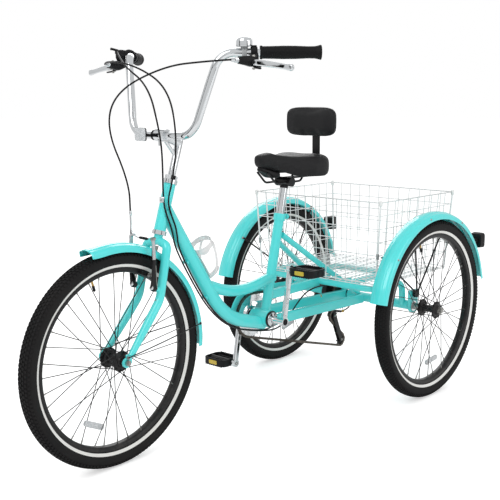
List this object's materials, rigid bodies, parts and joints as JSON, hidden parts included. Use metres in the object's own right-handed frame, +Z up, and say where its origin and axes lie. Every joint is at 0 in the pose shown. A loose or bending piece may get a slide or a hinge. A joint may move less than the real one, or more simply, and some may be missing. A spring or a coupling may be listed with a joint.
{
  "type": "adult tricycle",
  "caption": "Adult tricycle with a teal step-through frame, black wheels, chrome swept bars, a padded saddle with backrest and a white wire basket between the rear wheels.",
  "frame": {"origin": "on the ground under the middle of the bounding box", "axes": "+Z up, -Y the way the rider faces, +X to the rider's left"},
  "size_m": [0.8232, 1.7263, 1.171],
  "materials": {
    "aluminium": "satin",
    "black_metal": "semi-gloss",
    "black_plastic": "satin",
    "cable_rubber": "matte",
    "chrome": "polished",
    "clear_lens": "gloss",
    "frame_paint": "gloss",
    "grip_rubber": "matte",
    "red_lens": "gloss",
    "saddle_vinyl": "semi-matte",
    "steel": "satin",
    "tyre": "matte",
    "white_wire": "gloss"
  },
  "bodies": {
    "frame": {"head_tube": "frame_paint", "down_and_brace_tubes": "frame_paint", "chain_guard": "frame_paint", "seat_tube": "frame_paint", "rear_frame": "frame_paint", "basket_platform": "frame_paint", "bearings": "chrome", "seat_clamp": "black_metal", "basket_walls": "white_wire", "basket_floor": "white_wire", "rear_fenders": "frame_paint", "fender_stays": "black_metal", "rear_reflectors": "red_lens", "rear_brake": "black_metal", "derailleur": "black_metal", "derailleur_cage": "black_metal", "chain": "steel", "gear_cable": "cable_rubber", "rear_brake_cable": "cable_rubber", "bottle_cage": "white_wire"},
    "seat": {"seat_post": "chrome", "saddle": "saddle_vinyl", "saddle_frame": "black_metal", "backrest_pad": "saddle_vinyl"},
    "steering": {"fork": "frame_paint", "headset_nut": "chrome", "stem": "chrome", "handlebar": "chrome", "grips": "grip_rubber", "lever_brackets": "black_plastic", "bell": "chrome", "front_reflector": "clear_lens", "front_fender": "frame_paint", "front_axle": "steel", "front_brake_cable": "cable_rubber"},
    "left_lever": {"left_brake_lever": "aluminium"},
    "right_lever": {"right_brake_lever": "aluminium"},
    "shifter": {"shift_lever": "black_plastic"},
    "bell_thumb": {"bell_striker": "black_plastic"},
    "front_brake_left": {"left_brake_arm": "aluminium"},
    "front_brake_right": {"right_brake_arm": "aluminium"},
    "front_wheel": {"front_tyre": "tyre", "front_rim": "black_metal", "front_hub_and_spokes": "black_metal"},
    "left_wheel": {"left_tyre": "tyre", "left_rim": "black_metal", "left_hub_and_spokes": "black_metal", "left_axle": "steel"},
    "right_wheel": {"right_tyre": "tyre", "right_rim": "black_metal", "right_hub_and_spokes": "black_metal", "right_axle": "steel"},
    "cranks": {"crank": "chrome", "chainring": "chrome"},
    "left_pedal_body": {"left_pedal": "black_plastic"},
    "right_pedal_body": {"right_pedal": "black_plastic"},
    "sprockets": {"freewheel": "steel"},
    "upper_pulley": {"upper_jockey": "black_plastic"},
    "lower_pulley": {"lower_jockey": "black_plastic"},
    "rear_brake_lever": {"rear_brake_arm": "steel"}
  },
  "joints": [
    {"name": "steering", "type": "hinge", "parent": "frame", "child": "steering", "pos_m": [0, -0.36435, 0.7055], "axis": [0, 0.309, 0.9511], "range_deg": [-50, 50], "deforming": ["gear_cable", "rear_brake_cable"]},
    {"name": "front_wheel_spin", "type": "hinge", "parent": "steering", "child": "front_wheel", "pos_m": [0, -0.55985, 0.3025], "axis": [1, 0, 0], "continuous": true},
    {"name": "left_wheel_spin", "type": "hinge", "parent": "frame", "child": "left_wheel", "pos_m": [0.3318, 0.53315, 0.3025], "axis": [1, 0, 0], "continuous": true},
    {"name": "right_wheel_spin", "type": "hinge", "parent": "frame", "child": "right_wheel", "pos_m": [-0.3318, 0.53315, 0.3025], "axis": [1, 0, 0], "continuous": true},
    {"name": "crank_spin", "type": "hinge", "parent": "frame", "child": "cranks", "pos_m": [0, 0.05515, 0.306], "axis": [1, 0, 0], "continuous": true},
    {"name": "left_pedal_spin", "type": "hinge", "parent": "cranks", "child": "left_pedal_body", "pos_m": [0.16, 0.08467, 0.47342], "axis": [1, 0, 0], "continuous": true},
    {"name": "right_pedal_spin", "type": "hinge", "parent": "cranks", "child": "right_pedal_body", "pos_m": [-0.16, 0.02563, 0.13858], "axis": [1, 0, 0], "continuous": true},
    {"name": "sprocket_spin", "type": "hinge", "parent": "frame", "child": "sprockets", "pos_m": [-0.0466, 0.53315, 0.3025], "axis": [1, 0, 0], "continuous": true},
    {"name": "upper_pulley_spin", "type": "hinge", "parent": "frame", "child": "upper_pulley", "pos_m": [-0.0466, 0.49815, 0.222], "axis": [1, 0, 0], "continuous": true},
    {"name": "lower_pulley_spin", "type": "hinge", "parent": "frame", "child": "lower_pulley", "pos_m": [-0.0466, 0.54115, 0.124], "axis": [1, 0, 0], "continuous": true},
    {"name": "seat_height", "type": "slide", "parent": "frame", "child": "seat", "axis": [0, 0.2215, 0.9751], "range_m": [-0.05, 0.1]},
    {"name": "left_lever_pull", "type": "hinge", "parent": "steering", "child": "left_lever", "pos_m": [0.28602, -0.30393, 1.10332], "axis": [0, 0, 1], "range_deg": [0, 20], "stiffness_Nm_per_rad": 0.6, "springref_deg": -8.59},
    {"name": "right_lever_pull", "type": "hinge", "parent": "steering", "child": "right_lever", "pos_m": [-0.28602, -0.30393, 1.10332], "axis": [0, 0, -1], "range_deg": [0, 20], "stiffness_Nm_per_rad": 0.6, "springref_deg": -8.59},
    {"name": "left_arm_close", "type": "hinge", "parent": "steering", "child": "front_brake_left", "pos_m": [0.042, -0.42385, 0.482], "axis": [0, -0.9511, 0.309], "range_deg": [0, 2.4]},
    {"name": "right_arm_close", "type": "hinge", "parent": "steering", "child": "front_brake_right", "pos_m": [-0.042, -0.42385, 0.482], "axis": [0, 0.9511, -0.309], "range_deg": [0, 2.4]},
    {"name": "rear_arm_pull", "type": "hinge", "parent": "frame", "child": "rear_brake_lever", "pos_m": [-0.099, 0.51915, 0.336], "axis": [1, 0, 0], "range_deg": [0, 10]},
    {"name": "gear_shift", "type": "hinge", "parent": "steering", "child": "shifter", "pos_m": [-0.26796, -0.28809, 1.14032], "axis": [0, 0, 1], "range_deg": [-20, 35]},
    {"name": "bell_ring", "type": "hinge", "parent": "steering", "child": "bell_thumb", "pos_m": [0.21, -0.26309, 1.141], "axis": [0, 0, 1], "range_deg": [0, 25], "stiffness_Nm_per_rad": 0.05, "springref_deg": -5.73}
  ],
  "couplings": [
    {"joint": "sprocket_spin", "follows": "crank_spin", "ratio": 1.8},
    {"joint": "upper_pulley_spin", "follows": "crank_spin", "ratio": -3.2727},
    {"joint": "lower_pulley_spin", "follows": "crank_spin", "ratio": 3.2727},
    {"joint": "left_arm_close", "follows": "left_lever_pull", "ratio": 0.12},
    {"joint": "right_arm_close", "follows": "left_lever_pull", "ratio": 0.12},
    {"joint": "rear_arm_pull", "follows": "right_lever_pull", "ratio": 0.5}
  ]
}
